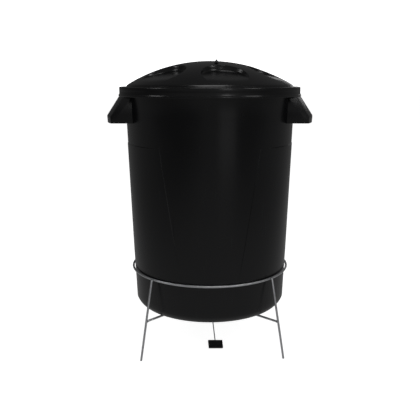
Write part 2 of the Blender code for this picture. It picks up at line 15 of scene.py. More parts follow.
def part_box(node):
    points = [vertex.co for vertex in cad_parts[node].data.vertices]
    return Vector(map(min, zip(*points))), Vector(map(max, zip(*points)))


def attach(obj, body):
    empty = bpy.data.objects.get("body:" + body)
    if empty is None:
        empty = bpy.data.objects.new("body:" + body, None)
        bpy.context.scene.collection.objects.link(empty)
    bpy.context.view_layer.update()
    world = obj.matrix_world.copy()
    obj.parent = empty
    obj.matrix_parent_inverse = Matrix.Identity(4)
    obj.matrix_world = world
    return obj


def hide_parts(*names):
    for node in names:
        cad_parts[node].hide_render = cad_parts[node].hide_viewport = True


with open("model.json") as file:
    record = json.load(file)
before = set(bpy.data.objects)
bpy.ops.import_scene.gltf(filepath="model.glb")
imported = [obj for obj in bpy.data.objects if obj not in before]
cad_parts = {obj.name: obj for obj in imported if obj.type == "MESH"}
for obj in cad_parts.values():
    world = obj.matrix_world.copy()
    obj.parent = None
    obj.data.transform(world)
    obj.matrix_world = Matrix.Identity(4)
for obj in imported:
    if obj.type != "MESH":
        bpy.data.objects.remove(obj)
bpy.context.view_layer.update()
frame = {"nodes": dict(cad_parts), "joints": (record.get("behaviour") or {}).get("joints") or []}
scene = bpy.context.scene

# %% [markdown]
# ## Helpers
# Every piece starts as a Blender primitive, which is shaped in edit mode. A modelling operator
# acts on all that is selected, so each helper first clears the selection and then picks
# exactly the corners, edges or faces it works on, by their place.

# %% Selecting and editing
def start_clean():
    if bpy.context.object and bpy.context.object.mode != "OBJECT":
        bpy.ops.object.mode_set(mode="OBJECT")
    bpy.ops.object.select_all(action="DESELECT")


def edit(piece):
    start_clean()
    piece.select_set(True)
    bpy.context.view_layer.objects.active = piece
    bpy.ops.object.mode_set(mode="EDIT")
    bpy.ops.mesh.select_mode(type="VERT")


def leave_edit():
    bpy.ops.object.mode_set(mode="OBJECT")


def pick(piece, test, kind="VERT"):
    """Selects the corners, edges or faces whose middle passes the test. Call it in edit mode."""
    bpy.ops.mesh.select_mode(type=kind)
    bpy.ops.mesh.select_all(action="DESELECT")
    shape = bmesh.from_edit_mesh(piece.data)
    rows = {"VERT": shape.verts, "EDGE": shape.edges, "FACE": shape.faces}[kind]
    count = 0
    for row in rows:
        if kind == "VERT":
            middle = row.co
        elif kind == "EDGE":
            middle = (row.verts[0].co + row.verts[1].co) / 2
        else:
            middle = row.calc_center_median()
        if test(row, middle):
            row.select_set(True)
            count += 1
    shape.select_flush_mode()
    bmesh.update_edit_mesh(piece.data)
    return count


def place_selected(piece, where):
    """Moves each selected corner to where(corner)."""
    shape = bmesh.from_edit_mesh(piece.data)
    for corner in shape.verts:
        if corner.select:
            corner.co = where(corner.co.copy())
    bmesh.update_edit_mesh(piece.data)


def named(name):
    piece = bpy.context.object
    piece.name = name
    piece.data.name = name
    return piece


def settle(piece):
    """Puts the piece's place into its mesh, so that its object sits at the origin."""
    start_clean()
    piece.select_set(True)
    bpy.context.view_layer.objects.active = piece
    bpy.ops.object.transform_apply(location=True, rotation=True, scale=True)


def apply_all(piece):
    start_clean()
    piece.select_set(True)
    bpy.context.view_layer.objects.active = piece
    for modifier in list(piece.modifiers):
        bpy.ops.object.modifier_apply(modifier=modifier.name)


def smooth_by(piece, degrees=32):
    start_clean()
    piece.select_set(True)
    bpy.context.view_layer.objects.active = piece
    bpy.ops.object.shade_smooth_by_angle(angle=math.radians(degrees))


def tidy_normals(piece):
    edit(piece)
    bpy.ops.mesh.select_all(action="SELECT")
    bpy.ops.mesh.remove_doubles(threshold=0.00002)
    bpy.ops.mesh.normals_make_consistent(inside=False)
    leave_edit()


# %% [markdown]
# ## Turned pieces
# Rims, bushes and pins are round about an axis. A turner cuts a profile and the lathe does the
# rest, and Spin is Blender's lathe: a chain of corners is drawn by extruding one corner from
# point to point, and the chain is spun round the Z axis.

# %% A profile, and the lathe
def draw_profile(name, points):
    """A chain of edges in the XZ plane, from a list of (radius, height)."""
    start_clean()
    bpy.ops.mesh.primitive_plane_add(size=0.001, location=(0, 0, 0))
    piece = named(name)
    edit(piece)
    bpy.ops.mesh.select_all(action="SELECT")
    bpy.ops.mesh.merge(type="CENTER")
    first = Vector((points[0][0], 0, points[0][1]))
    place_selected(piece, lambda corner: first)
    last = first
    for radius, height in points[1:]:
        step = Vector((radius, 0, height)) - last
        bpy.ops.mesh.extrude_region_move(TRANSFORM_OT_translate={"value": step})
        last += step
    return piece


def spin_selected(steps, angle=math.tau, copies=False):
    """Spins what is selected about the Z axis. Spin turns clockwise, so the angle is negated."""
    bpy.ops.mesh.spin(steps=steps, angle=-angle, center=(0, 0, 0), axis=(0, 0, 1), dupli=copies)


def turned(name, points, steps=96, closed=False):
    """Spins a profile into a round piece. A closed profile makes a ring with a solid section."""
    if closed:
        points = list(points) + [points[0]]
    piece = draw_profile(name, points)
    bpy.ops.mesh.select_all(action="SELECT")
    spin_selected(steps)
    bpy.ops.mesh.select_all(action="SELECT")
    bpy.ops.mesh.remove_doubles(threshold=0.00002)
    bpy.ops.mesh.normals_make_consistent(inside=False)
    leave_edit()
    return piece


def shell(piece, thickness):
    """Gives an open skin its wall, inwards from the skin."""
    wall = piece.modifiers.new("wall", "SOLIDIFY")
    wall.thickness = thickness
    wall.offset = -1.0
    wall.use_even_offset = True
    wall.use_quality_normals = True
    apply_all(piece)


def soften(piece, width, segments=3, degrees=30):
    edges = piece.modifiers.new("edges", "BEVEL")
    edges.width = width
    edges.segments = segments
    edges.limit_method = "ANGLE"
    edges.angle_limit = math.radians(degrees)
    edges.harden_normals = False
    apply_all(piece)


def finish_piece(piece, body, slot, *nodes):
    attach(piece, body)
    if nodes:
        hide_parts(*nodes)
    print(piece.name, len(piece.data.polygons), "faces on", body)


# %% [markdown]
# ## The bin's wall
# The bin is one moulding: a wall that tapers by two degrees, a turned-over rim, and a foot ring
# round a floor that is kicked up in the middle. It could be a cylinder with loop cuts, but a
# lathe profile puts each bend at its right height at once. Only the outer skin is drawn, and
# Solidify adds the 3 mm wall.

# %% Sizes read from the frame
low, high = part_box("bin_body")
BIN_BASE = low.z
RIM_TOP = high.z
WALL = 0.003
FLANGE_UNDER = RIM_TOP - WALL
EDGE_TOP = BIN_BASE + 0.0207
FOOT_WALL = 0.2139
RIM_WALL = 0.2349
FLOOR_UNDER = BIN_BASE + 0.0157
OUTLET_HOLE = 0.0308
print("bin from", round(BIN_BASE, 4), "to", round(RIM_TOP, 4))


def wall_radius(z):
    """Outside radius of the bin's wall at a height."""
    share = (z - EDGE_TOP) / (FLANGE_UNDER - EDGE_TOP)
    return FOOT_WALL + share * (RIM_WALL - FOOT_WALL)


def around(radius, degrees, z):
    """A point on a circle: 0 degrees is the front, and positive turns towards +X."""
    turn = math.radians(degrees)
    return Vector((radius * math.sin(turn), -radius * math.cos(turn), z))


# %% The wall's skin
PANEL_TOP = 0.5800
PANEL_STEP = 0.0011
PANEL_ROWS = (0.66, PANEL_TOP, PANEL_TOP - PANEL_STEP, 0.50, 0.42, 0.34, 0.27, 0.22, 0.17, 0.145)
lip_outer = RIM_WALL + 0.0106 + WALL
lip_low = FLANGE_UNDER - 0.0115
profile = [
    (lip_outer - WALL, lip_low),
    (lip_outer - WALL, FLANGE_UNDER - 0.0022),
    (lip_outer - WALL - 0.0008, FLANGE_UNDER - 0.0006),
    (lip_outer - WALL - 0.0024, FLANGE_UNDER),
    (RIM_WALL + 0.0022, FLANGE_UNDER),
    (RIM_WALL + 0.0006, FLANGE_UNDER - 0.0006),
    (RIM_WALL - 0.0001, FLANGE_UNDER - 0.0024),
]
profile += [(wall_radius(z), z) for z in PANEL_ROWS]
for step in range(9):
    share = step / 8
    inward = 2 * share * (1 - share) * 0.3 + share ** 2
    down = 2 * share * (1 - share) * 0.7 + share ** 2
    profile.append((FOOT_WALL - 0.0197 * inward, EDGE_TOP - 0.0207 * down))
profile += [
    (0.1838, BIN_BASE),
    (0.1822, BIN_BASE + 0.0010),
    (0.1750, FLOOR_UNDER - 0.0010),
    (0.1734, FLOOR_UNDER),
    (0.0900, FLOOR_UNDER),
    (OUTLET_HOLE, FLOOR_UNDER),
]
bin_wall = turned("bin_wall", profile, steps=144)
print(len(bin_wall.data.vertices), "corners in the skin")

# %% [markdown]
# ## The raised panels
# Under each grip the wall stands out by about a millimetre. The panel's top edge is level, and
# its front and back edges slant, so the plain strip between the panels is a long V. A bisect
# plane cuts each slanted edge exactly, a second one beside it gives the step its width, and the
# corners past it are moved outwards, less and less towards the foot, where the panel fades out.

# %% Cut and raise the panels
PANEL_PROUD = 0.0011
PANEL_FADE_LOW = 0.150
PANEL_FADE_HIGH = 0.290
EDGE_TOP_TURN = 34.2
EDGE_LOW_TURN = 22.2
EDGE_LOW_Z = 0.265


def slanted_plane(side, end):
    """A point and the normal of the plane through one slanted panel edge."""
    top = around(wall_radius(PANEL_TOP), EDGE_TOP_TURN, PANEL_TOP)
    low_point = around(wall_radius(EDGE_LOW_Z), EDGE_LOW_TURN, EDGE_LOW_Z)
    for point in (top, low_point):
        point.x *= side
        point.y *= -end
    along = top - low_point
    outward = Vector((top.x + low_point.x, top.y + low_point.y, 0)).normalized()
    across = along.cross(outward).normalized()
    if across.x * side < 0:
        across.negate()
    return top, across


planes = [(side, end, *slanted_plane(side, end)) for side in (-1, 1) for end in (-1, 1)]
edit(bin_wall)
for side, end, point, across in planes:
    for offset in (0.0, PANEL_STEP):
        pick(bin_wall, lambda face, middle: (
            middle.x * side > 0 and middle.y * end > 0
            and PANEL_FADE_LOW - 0.01 < middle.z < PANEL_TOP), "FACE")
        bpy.ops.mesh.bisect(plane_co=point + across * offset, plane_no=across, use_fill=False)


def in_panel(corner, middle):
    if not 0.145 < middle.z < PANEL_TOP - PANEL_STEP + 0.0001 or middle.xy.length < 0.2:
        return False
    for side, end, point, across in planes:
        if middle.x * side >= 0 and middle.y * end >= 0:
            return (middle - point).dot(across) > PANEL_STEP - 0.0001
    return False


chosen = pick(bin_wall, in_panel)


def raise_corner(corner):
    share = (corner.z - PANEL_FADE_LOW) / (PANEL_FADE_HIGH - PANEL_FADE_LOW)
    share = min(max(share, 0.0), 1.0)
    share = share * share * (3 - 2 * share)
    outward = Vector((corner.x, corner.y, 0)).normalized()
    return corner + outward * PANEL_PROUD * share


place_selected(bin_wall, raise_corner)
leave_edit()
print(chosen, "corners raised")

# %% Give the wall its thickness
shell(bin_wall, WALL)
smooth_by(bin_wall, 40)

# %% [markdown]
# ## The hand grips
# Each grip is a hood moulded on the wall: a sloping panel that follows the bin's curve, a flat
# top just under the lid's skirt, and a flat web at each end. It is open below for the
# fingers. Its section is spun through part of a turn, cut off square at both ends, and closed
# with a web drawn from the cut edge.

# %% One grip, and its mirrored copy
GRIP_TOP = RIM_TOP - 0.0227
GRIP_LOW = GRIP_TOP - 0.0695
GRIP_WIDE_Z = GRIP_TOP - 0.0535
GRIP_HALF = 0.113


def grip_section():
    root = wall_radius(GRIP_TOP) - 0.0012
    top_reach = wall_radius(GRIP_TOP) + 0.0203
    widest = wall_radius(GRIP_WIDE_Z) + 0.0560
    return [
        (root, GRIP_TOP), (top_reach, GRIP_TOP),
        (widest - 0.0007, GRIP_WIDE_Z + 0.0030), (widest, GRIP_WIDE_Z),
        (widest - 0.0002, GRIP_WIDE_Z - 0.0030), (widest - 0.0010, GRIP_LOW)]


def close_web(grip, end):
    """Draws the flat web in the cut end at Y = end * GRIP_HALF."""
    def on_cut(row, middle):
        return abs(middle.y - end * GRIP_HALF) < 0.00005
    pick(grip, lambda row, middle: on_cut(row, middle) and middle.z < GRIP_LOW + 0.0001)
    shape = bmesh.from_edit_mesh(grip.data)
    corner = [v for v in shape.verts if v.select][0].co.copy()
    root = math.sqrt((wall_radius(GRIP_LOW) - 0.0012) ** 2 - GRIP_HALF ** 2)
    bpy.ops.mesh.extrude_region_move(
        TRANSFORM_OT_translate={"value": (root - corner.x, 0, 0)})
    pick(grip, on_cut)
    bpy.ops.mesh.edge_face_add()


def make_grip(name, mirrored):
    grip = draw_profile(name, grip_section())
    bpy.ops.mesh.select_all(action="SELECT")
    half_turn = math.radians(32)
    place_selected(grip, lambda corner: Matrix.Rotation(-half_turn, 3, "Z") @ corner)
    bpy.ops.mesh.select_all(action="SELECT")
    spin_selected(36, 2 * half_turn)
    for end in (-1, 1):
        bpy.ops.mesh.select_all(action="SELECT")
        bpy.ops.mesh.bisect(plane_co=(0, end * GRIP_HALF, 0), plane_no=(0, end, 0),
                            clear_outer=True, use_fill=False)
        close_web(grip, end)
    bpy.ops.mesh.select_all(action="SELECT")
    bpy.ops.mesh.remove_doubles(threshold=0.00002)
    bpy.ops.mesh.normals_make_consistent(inside=False)
    if mirrored:
        place_selected(grip, lambda corner: Vector((-corner.x, corner.y, corner.z)))
        bpy.ops.mesh.select_all(action="SELECT")
        bpy.ops.mesh.flip_normals()
    shape = bmesh.from_edit_mesh(grip.data)
    panel = max(shape.faces, key=lambda face: abs(face.calc_center_median().x))
    if panel.normal.x * panel.calc_center_median().x < 0:
        bpy.ops.mesh.flip_normals()
    leave_edit()
    shell(grip, WALL)
    soften(grip, 0.0016, 3, 40)
    smooth_by(grip, 35)
    return grip


grips = [make_grip("hand_grip_right", False), make_grip("hand_grip_left", True)]

# %% [markdown]
# ## The blank plate
# Low on the front is a small raised plate with nothing on it. It follows the wall's curve, so
# its section is spun through ten degrees.

# %% The plate
plate_radius = wall_radius(EDGE_TOP) - 0.0012
plate_section = [
    (plate_radius, EDGE_TOP - 0.0026), (plate_radius + 0.0022, EDGE_TOP - 0.0022),
    (plate_radius + 0.0026, EDGE_TOP + 0.0022), (plate_radius, EDGE_TOP + 0.0050),
    (plate_radius, EDGE_TOP - 0.0026)]
blank_plate = draw_profile("blank_plate", plate_section)
bpy.ops.mesh.select_all(action="SELECT")
place_selected(blank_plate, lambda corner: Matrix.Rotation(math.radians(-93.0), 3, "Z") @ corner)
bpy.ops.mesh.select_all(action="SELECT")
spin_selected(12, math.radians(10.0))
bpy.ops.mesh.select_all(action="SELECT")
bpy.ops.mesh.remove_doubles(threshold=0.00002)
pick(blank_plate, lambda edge, middle: edge.is_boundary, "EDGE")
bpy.ops.mesh.edge_face_add()
leave_edit()
tidy_normals(blank_plate)
soften(blank_plate, 0.0006, 2, 40)
smooth_by(blank_plate, 35)

# %% [markdown]
# ## The lid
# The lid is a shallow dome with six scooped hand recesses. The plastic between two
# scoops is the ridge that a hand takes hold of. A Boolean could cut the scoops, but its edges
# would be knife sharp, and a real moulding has a soft radius everywhere. So one sixth of
# the lid is grown ring by ring from the middle of its scoop, with close rings where the scoop's
# wall is steep, and then every corner takes its height from one smooth formula.

# %% The lid's sizes and its height formula
low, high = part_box("bin_lid")
LID_LOW = low.z
LEDGE = LID_LOW + 0.0257
DOME_RADIUS = 0.2344
DOME_RISE = 0.0669
DOME_TOP = LEDGE + 0.0034 + DOME_RISE
SPHERE = (DOME_RADIUS ** 2 + DOME_RISE ** 2) / (2 * DOME_RISE)
DOME_EDGE = 0.2260
SCOOP_COUNT = 6
SIXTH = math.tau / SCOOP_COUNT
SCOOP_OUT = 0.1700
SCOOP_FLOOR = 0.0600
SCOOP_FLOOR_Z = DOME_TOP - 0.0425
SCOOP_TILT = math.tan(math.radians(14))
SCOOP_STEEP = 4.5
LID_TURN = 13.2


def soft_low(a, b, blend):
    """The lower of two heights, blended where they are closer than blend."""
    share = min(max(0.5 + 0.5 * (b - a) / blend, 0.0), 1.0)
    return b + (a - b) * share - blend * share * (1 - share)


def dome_height(radius):
    return DOME_TOP - SPHERE + math.sqrt(SPHERE ** 2 - radius ** 2)


def lid_height(x, y):
    """Height of the lid over a point of the front sixth, whose scoop is centred on -Y."""
    dome = dome_height(math.hypot(x, y))
    across, out = x, -y - SCOOP_OUT
    floor = SCOOP_FLOOR_Z - out * SCOOP_TILT
    wall = floor + (math.hypot(across, out) - SCOOP_FLOOR) * SCOOP_STEEP
    scoop = -soft_low(-floor, -wall, 0.0030)
    return soft_low(dome, scoop, 0.0032)


# %% Grow one sixth of the lid
SCOOP_RINGS = (0.024, 0.038, 0.048, 0.054, 0.0570, 0.0588, 0.0600, 0.0608, 0.0616, 0.0624,
               0.0632, 0.0641, 0.0652, 0.0668, 0.0690, 0.0720, 0.0755)
OUTER_RINGS = 9
FREE_REACH = 0.0810
CORNER_TURN = math.atan2(DOME_EDGE * math.sin(SIXTH / 2),
                         DOME_EDGE * math.cos(SIXTH / 2) - SCOOP_OUT)
HALF_SPOKES = 25
BACK_SPOKES = 23


def reach(turn):
    """How far the sixth runs from the scoop's middle, turn radians away from outward."""
    turn = abs(turn)
    side = math.cos(turn) * SCOOP_OUT
    if turn <= CORNER_TURN + 1e-6:
        return -side + math.sqrt(side ** 2 + DOME_EDGE ** 2 - SCOOP_OUT ** 2)
    return SCOOP_OUT * math.sin(SIXTH / 2) / math.sin(turn - SIXTH / 2)


def spoke_turns():
    front = [CORNER_TURN * step / HALF_SPOKES for step in range(HALF_SPOKES + 1)]
    back = [CORNER_TURN + (math.pi - CORNER_TURN) * step / BACK_SPOKES
            for step in range(1, BACK_SPOKES + 1)]
    half = front + back
    return half + [-turn for turn in reversed(half[1:-1])]


def ring_point(turn, index):
    """The corner on one spoke of ring number index. The last ring is the sixth's outline."""
    limit = reach(turn)
    if index < len(SCOOP_RINGS):
        distance = SCOOP_RINGS[index] * min(1.0, limit / FREE_REACH)
    else:
        start = SCOOP_RINGS[-1] * min(1.0, limit / FREE_REACH)
        share = (index - len(SCOOP_RINGS) + 1) / OUTER_RINGS
        distance = start + (limit - start) * share
    return Vector((distance * math.sin(turn), -SCOOP_OUT - distance * math.cos(turn), 0))


turns = spoke_turns()
start_clean()
bpy.ops.mesh.primitive_circle_add(
    vertices=len(turns), radius=0.012, fill_type="TRIFAN", location=(0, -SCOOP_OUT, 0))
lid = named("lid_shell")
settle(lid)
edit(lid)


def spoke_of(corner):
    """Number of the spoke that a corner of the first even circle belongs to."""
    turn = math.atan2(corner.x, -(corner.y + SCOOP_OUT))
    return round(turn / math.tau * len(turns)) % len(turns)


pick(lid, lambda corner, middle: (middle - Vector((0, -SCOOP_OUT, 0))).length > 0.006)
place_selected(lid, lambda corner: Vector((0, -SCOOP_OUT, 0)) + 0.012 * Vector((
    math.sin(turns[spoke_of(corner)]), -math.cos(turns[spoke_of(corner)]), 0)))
for index in range(len(SCOOP_RINGS) + OUTER_RINGS):
    bpy.ops.mesh.extrude_region_move()
    place_selected(lid, lambda corner: ring_point(
        math.atan2(corner.x, -(corner.y + SCOOP_OUT)), index))
leave_edit()
print(len(lid.data.polygons), "faces in one sixth")

# %% Copy it round, raise it to its height, and draw the rim
LEDGE_EDGE = 0.2535
RIM_PROFILE = [
    (0.2290, dome_height(0.2290) - 0.0002), (0.2318, dome_height(0.2318) - 0.0007),
    (0.2332, LEDGE + 0.0020), (0.2338, LEDGE + 0.0010), (0.2344, LEDGE + 0.0003),
    (0.2352, LEDGE), (0.2380, LEDGE), (0.2470, LEDGE), (LEDGE_EDGE - 0.0026, LEDGE),
    (LEDGE_EDGE - 0.0012, LEDGE - 0.0003), (LEDGE_EDGE - 0.0003, LEDGE - 0.0011),
    (LEDGE_EDGE, LEDGE - 0.0024), (LEDGE_EDGE, LEDGE - 0.0100), (LEDGE_EDGE, LID_LOW + 0.0070),
    (LEDGE_EDGE + 0.0004, LID_LOW + 0.0056), (LEDGE_EDGE + 0.0015, LID_LOW + 0.0046),
    (LEDGE_EDGE + 0.0019, LID_LOW + 0.0036), (LEDGE_EDGE + 0.0019, LID_LOW + 0.0010),
    (LEDGE_EDGE + 0.0015, LID_LOW + 0.0002)]


def raised(corner):
    sector = round(math.atan2(corner.x, -corner.y) / SIXTH) * SIXTH
    local = Matrix.Rotation(-sector, 3, "Z") @ corner
    return Vector((corner.x, corner.y, lid_height(local.x, local.y)))


def on_circle(radius, z):
    def where(corner):
        flat = Vector((corner.x, corner.y, 0)).normalized() * radius
        return Vector((flat.x, flat.y, z))
    return where


edit(lid)
bpy.ops.mesh.select_all(action="SELECT")
spin_selected(SCOOP_COUNT - 1, math.tau - SIXTH, copies=True)
bpy.ops.mesh.select_all(action="SELECT")
bpy.ops.mesh.remove_doubles(threshold=0.00003)
bpy.ops.mesh.select_all(action="SELECT")
place_selected(lid, raised)
pick(lid, lambda edge, middle: edge.is_boundary, "EDGE")
bpy.ops.mesh.select_mode(type="VERT")
for radius, z in RIM_PROFILE:
    bpy.ops.mesh.extrude_region_move()
    place_selected(lid, on_circle(radius, z))
bpy.ops.mesh.select_all(action="SELECT")
bpy.ops.mesh.normals_make_consistent(inside=False)
turned_lid = Matrix.Rotation(math.radians(LID_TURN), 3, "Z")
place_selected(lid, lambda corner: turned_lid @ corner)
leave_edit()
shell(lid, WALL)
smooth_by(lid, 38)
print("lid", [round(size, 4) for size in lid.dimensions])

# %% [markdown]
# ## The peg on the lid
# A small push-in peg stands near the crown. Its head is a short spike over a round collar.

# %% The peg
low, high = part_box("lid_peg")
peg_x, peg_y = (low.x + high.x) / 2, (low.y + high.y) / 2
HEAD_RADIUS = (high.x - low.x) / 2
seat = high.z - 0.0078
peg = turned("peg_head", [
    (0.0, high.z), (0.0009, high.z - 0.0001), (0.0015, high.z - 0.0007), (0.0022, high.z - 0.0022),
    (0.0036, high.z - 0.0042), (HEAD_RADIUS * 0.84, high.z - 0.0053), (HEAD_RADIUS * 0.97, high.z - 0.0059),
    (HEAD_RADIUS, high.z - 0.0066), (HEAD_RADIUS, seat + 0.0004), (HEAD_RADIUS - 0.0004, seat),
    (0.0022, seat), (0.0022, low.z + 0.0040), (0.0032, low.z + 0.0039), (0.0013, low.z + 0.0002),
    (0.0, low.z)], 32)
edit(peg)
bpy.ops.mesh.select_all(action="SELECT")
place_selected(peg, lambda corner: corner + Vector((peg_x, peg_y, 0)))
leave_edit()
smooth_by(peg, 40)

# %% [markdown]
# ## The wire stand
# The stand is made of one size of galvanised wire: a hoop, four splayed legs welded to the
# hoop's outside, and two wires that cross under the bin. Each wire is a round bar cut off
# by a bisect plane, and its cut ends get a small bevel from the shears.

# %% Wires
WIRE = 0.003
STAND_TURN = 2.2
low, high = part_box("stand_hoop")
HOOP_Z = (low.z + high.z) / 2
HOOP_RADIUS = (high.x - low.x) / 2 - WIRE
LEG_TOP = HOOP_Z + WIRE
FOOT_RADIUS = 0.2774
LEG_HOOP_RADIUS = HOOP_RADIUS + 2 * WIRE + 0.0006
SPLAY = (FOOT_RADIUS - LEG_HOOP_RADIUS) / HOOP_Z
LEG_TURNS = {"front_left": -45, "front_right": 45, "rear_right": 135, "rear_left": -135}
ROD_HEIGHTS = {"upper": BIN_BASE - 0.0033, "lower": BIN_BASE - 0.0096}


def leg_radius(z):
    return FOOT_RADIUS - SPLAY * z


def bar(name, start, end, radius, sides=24):
    """A round bar between two points, lying in its mesh."""
    along = end - start
    start_clean()
    bpy.ops.mesh.primitive_cylinder_add(
        vertices=sides, radius=radius, depth=along.length, location=(start + end) / 2,
        rotation=along.to_track_quat("Z", "Y").to_euler())
    piece = named(name)
    settle(piece)
    return piece


def cut_level(piece, z, side):
    edit(piece)
    bpy.ops.mesh.select_all(action="SELECT")
    bpy.ops.mesh.bisect(plane_co=(0, 0, z), plane_no=(0, 0, side), clear_outer=True, use_fill=True)
    leave_edit()


def make_leg(place, turn):
    start = around(leg_radius(-0.01), turn + STAND_TURN, -0.01)
    end = around(leg_radius(LEG_TOP + 0.01), turn + STAND_TURN, LEG_TOP + 0.01)
    leg = bar("wire_leg_" + place, start, end, WIRE)
    cut_level(leg, 0.0, -1)
    cut_level(leg, LEG_TOP, 1)
    tidy_normals(leg)
    soften(leg, 0.0005, 2, 50)
    smooth_by(leg, 40)
    return leg


def make_rod(level, turn):
    z = ROD_HEIGHTS[level]
    distance = leg_radius(z + WIRE) - WIRE * math.sqrt(1 + SPLAY ** 2) - 0.0003
    rod = bar("wire_cross_rod_" + level, around(distance, turn + STAND_TURN, z),
              around(-distance, turn + STAND_TURN, z), WIRE)
    soften(rod, 0.0005, 2, 50)
    smooth_by(rod, 40)
    return rod


start_clean()
bpy.ops.mesh.primitive_torus_add(
    major_segments=192, minor_segments=20, major_radius=HOOP_RADIUS, minor_radius=WIRE,
    location=(0, 0, HOOP_Z))
hoop = named("wire_hoop")
settle(hoop)
smooth_by(hoop, 60)
legs = {place: make_leg(place, turn) for place, turn in LEG_TURNS.items()}
rods = {"upper": make_rod("upper", LEG_TURNS["front_left"]),
        "lower": make_rod("lower", LEG_TURNS["front_right"])}

# %% [markdown]
# ## Weld beads
# Where two wires meet, a lump of melted metal joins them. A ball is squashed, and every
# corner is pushed in or out a little by smooth noise, so that no two beads are alike.

# %% Beads
BEAD = 0.0036


def make_bead(name, place, stretch, seed):
    start_clean()
    bpy.ops.mesh.primitive_ico_sphere_add(subdivisions=4, radius=1.0, location=(0, 0, 0))
    bead = named(name)
    edit(bead)
    bpy.ops.mesh.select_all(action="SELECT")

    def lumpy(corner):
        swell = 1 + 0.16 * noise.noise(corner * 1.7 + Vector((seed, 0, 0)))
        swell += 0.05 * noise.noise(corner * 5.0 + Vector((0, seed, 0)))
        return place + Vector([c * s for c, s in zip(corner * swell * BEAD, stretch)])

    place_selected(bead, lumpy)
    leave_edit()
    smooth_by(bead, 60)
    return bead


beads = []
for seed, (place, turn) in enumerate(LEG_TURNS.items()):
    spot = around(HOOP_RADIUS + WIRE + 0.0003, turn + STAND_TURN, HOOP_Z - 0.0004)
    beads.append(make_bead("weld_hoop_" + place, spot, (0.92, 0.92, 0.80), seed * 3.1))
    level = "upper" if turn in (-45, 135) else "lower"
    z = ROD_HEIGHTS[level]
    spot = around(leg_radius(z) - WIRE, turn + STAND_TURN, z)
    beads.append(make_bead("weld_leg_" + place, spot, (1.05, 1.05, 1.0), seed * 3.1 + 20))
beads.append(make_bead("weld_crossing", Vector((0, 0, (ROD_HEIGHTS["upper"] + ROD_HEIGHTS["lower"]) / 2)),
                       (0.95, 0.95, 0.75), 50.0))

# %% [markdown]
# ## The outlet's small pieces
# These keep the shapes that they already have in the frame. A copy of each gets its loose triangles
# merged into clean faces and its edges rounded, so that they catch the light.

# %% Rounded copies
def soft_copy(name, node, width):
    start_clean()
    source = frame["nodes"][node]
    mesh = source.data.copy()
    piece = bpy.data.objects.new(name, mesh)
    scene.collection.objects.link(piece)
    mesh.name = name
    edit(piece)
    bpy.ops.mesh.select_all(action="SELECT")
    bpy.ops.mesh.remove_doubles(threshold=0.00002)
    bpy.ops.mesh.dissolve_limited(angle_limit=math.radians(1.0))
    leave_edit()
    soften(piece, width, 2, 35)
    smooth_by(piece, 35)
    return piece


outlet_copies = {
    "outlet_bush": ("outlet_collar", 0.0004, "bin", "outlet_plastic"),
    "outlet_nut": ("outlet_ring_nut", 0.0006, "bin", "outlet_plastic"),
    "outlet_washer": ("outlet_seal", 0.0003, "bin", "rubber"),
    "swivel_disc": ("outlet_disc", 0.0003, "outlet_swivel", "outlet_plastic"),
    "pivot_pin": ("hinge_pin", 0.0003, "outlet_swivel", "steel_pin"),
    "pin_clip_left": ("hinge_clip_left", 0.0001, "outlet_swivel", "steel_pin"),
    "pin_clip_right": ("hinge_clip_right", 0.0001, "outlet_swivel", "steel_pin"),
}
outlet_pieces = {}
for node, (name, width, body, slot) in outlet_copies.items():
    outlet_pieces[node] = soft_copy(name, node, width)

# %% [markdown]
# ## The pecking rod
# One length of thin wire: a straight shank, one turn round the hinge pin, and a straight tail
# that stirs the feed above the outlet. A curve with a round bevel is the natural way to bend
# wire, and it is then converted to a mesh.

# %% Bend the rod
PIN_Z = frame["joints"][3]["pos_m"][2] if frame["joints"][3]["name"] == "peck" else 0.1223
ROD = 0.0015
EYE = 0.0037
EYE_HALF = 0.0017
ROD_LEAN = math.radians(47.5)
ROD_TURN = math.radians(8.3)
rod_frame = (Matrix.Translation((0, 0, PIN_Z)) @ Matrix.Rotation(ROD_TURN, 4, "Z")
             @ Matrix.Rotation(-ROD_LEAN, 4, "X"))
DISC_UNDER = PIN_Z + 0.0045
REACH_LOW = 0.0034 * math.cos(math.radians(8.6)) + 0.0414 / 2 * math.sin(math.radians(8.6)) - EYE
ROD_REACH = (PIN_Z - 0.0005 - REACH_LOW * math.sin(ROD_LEAN)) / math.cos(ROD_LEAN)
PADDLE_WIDE = 0.0414
PADDLE_LONG = 0.0233
PADDLE_TOP = PADDLE_LONG - ROD_REACH
rod_points = [(-EYE_HALF, -EYE, PADDLE_TOP - 0.0117)]
for step in range(49):
    turn = math.tau * step / 48
    rod_points.append((EYE_HALF * (step / 24 - 1), -EYE * math.cos(turn), EYE * math.sin(turn)))
rod_points.append((EYE_HALF, -EYE, 0.060))

start_clean()
bpy.ops.curve.primitive_bezier_curve_add(location=(0, 0, 0))
peck_rod = bpy.context.object
peck_rod.name = "bent_rod"
wire = peck_rod.data
wire.splines.clear()
line = wire.splines.new("POLY")
line.points.add(len(rod_points) - 1)
for corner, place in zip(line.points, rod_points):
    corner.co = (*place, 1.0)
wire.dimensions = "3D"
wire.bevel_depth = ROD
wire.bevel_resolution = 5
wire.use_fill_caps = True
bpy.ops.object.convert(target="MESH")
peck_rod = named("bent_rod")
peck_rod.data.transform(rod_frame)
tidy_normals(peck_rod)
smooth_by(peck_rod, 50)
